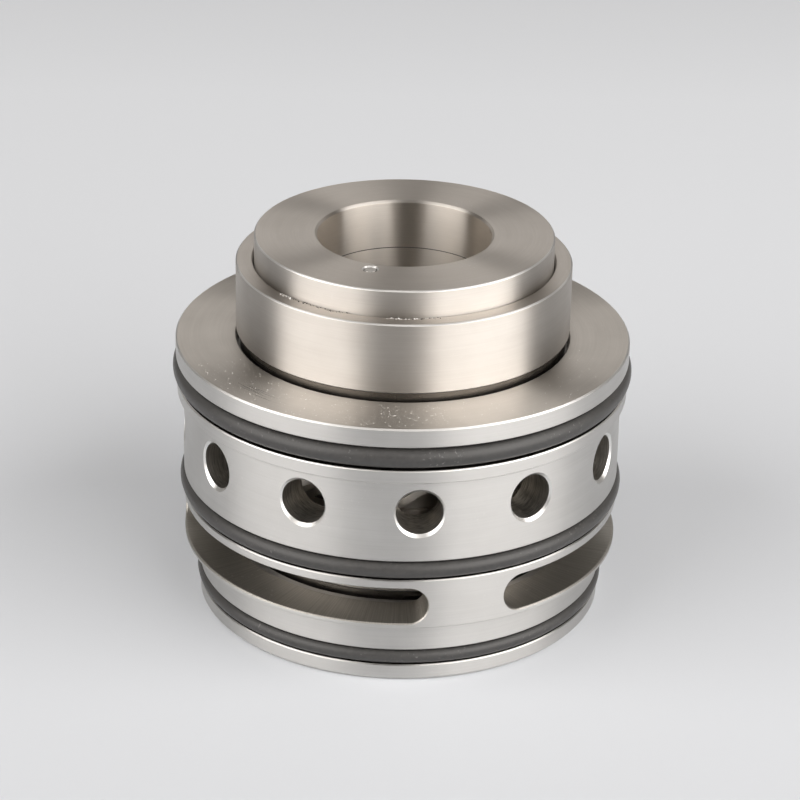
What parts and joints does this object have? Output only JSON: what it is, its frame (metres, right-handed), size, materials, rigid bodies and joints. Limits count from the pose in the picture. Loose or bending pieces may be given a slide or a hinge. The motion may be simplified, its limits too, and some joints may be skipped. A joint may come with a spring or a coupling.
{
  "type": "cartridge mechanical seal",
  "caption": "Cartridge face seal: turning sleeve with spring-loaded collars in a round ported and slotted steel housing with outer O-rings.",
  "frame": {"origin": "centre of the seal's axis on the plane that the foot ring stands on", "axes": "+Z along the shaft axis, from the foot ring to the top ring; -Y towards the front, where the picture was taken"},
  "size_m": [0.12, 0.12, 0.1015],
  "materials": {
    "steel": "satin turned",
    "turned_steel": "fine turned, slightly warm",
    "pin_steel": "ground",
    "spring_wire": "drawn wire",
    "carbide": "lapped, dark grey",
    "o_ring_rubber": "smooth matt black"
  },
  "bodies": {
    "housing": {"gland_flange": "steel", "port_housing": "steel", "foot_ring": "steel", "flange_o_ring": "o_ring_rubber", "waist_o_ring": "o_ring_rubber", "foot_o_ring": "o_ring_rubber", "gland_joint_o_ring": "o_ring_rubber", "foot_joint_o_ring": "o_ring_rubber", "upper_seat": "carbide", "upper_seat_o_ring": "o_ring_rubber", "upper_seat_pins": "pin_steel", "lower_seat": "carbide", "lower_seat_o_ring": "o_ring_rubber", "lower_seat_pins": "pin_steel"},
    "rotor": {"shaft_sleeve": "turned_steel", "top_ring": "turned_steel", "top_ring_pin": "pin_steel", "upper_shaft_o_ring": "o_ring_rubber", "lower_shaft_o_ring": "o_ring_rubber", "circulation_ring": "turned_steel", "circulation_ring_screws": "pin_steel", "upper_springs": "spring_wire", "lower_springs": "spring_wire", "upper_drive_pins": "pin_steel", "lower_drive_pins": "pin_steel", "retaining_ring": "pin_steel"},
    "upper_float": {"upper_collar": "turned_steel", "upper_rotating_ring": "carbide", "upper_ring_o_ring": "o_ring_rubber", "upper_collar_o_ring": "o_ring_rubber"},
    "lower_float": {"lower_collar": "turned_steel", "lower_rotating_ring": "carbide", "lower_ring_o_ring": "o_ring_rubber", "lower_collar_o_ring": "o_ring_rubber"}
  },
  "joints": [
    {"name": "rotor_spin", "type": "hinge", "parent": "housing", "child": "rotor", "pos_m": [0, 0, 0], "axis": [0, 0, 1], "continuous": true},
    {"name": "upper_float_slide", "type": "slide", "parent": "rotor", "child": "upper_float", "axis": [0, 0, 1], "range_m": [0, 0.001], "stiffness_N_per_m": 5000, "springref_m": -0.005, "deforming": ["upper_springs"]},
    {"name": "lower_float_slide", "type": "slide", "parent": "rotor", "child": "lower_float", "axis": [0, 0, 1], "range_m": [0, 0.001], "stiffness_N_per_m": 5000, "springref_m": -0.005, "deforming": ["lower_springs"]}
  ]
}
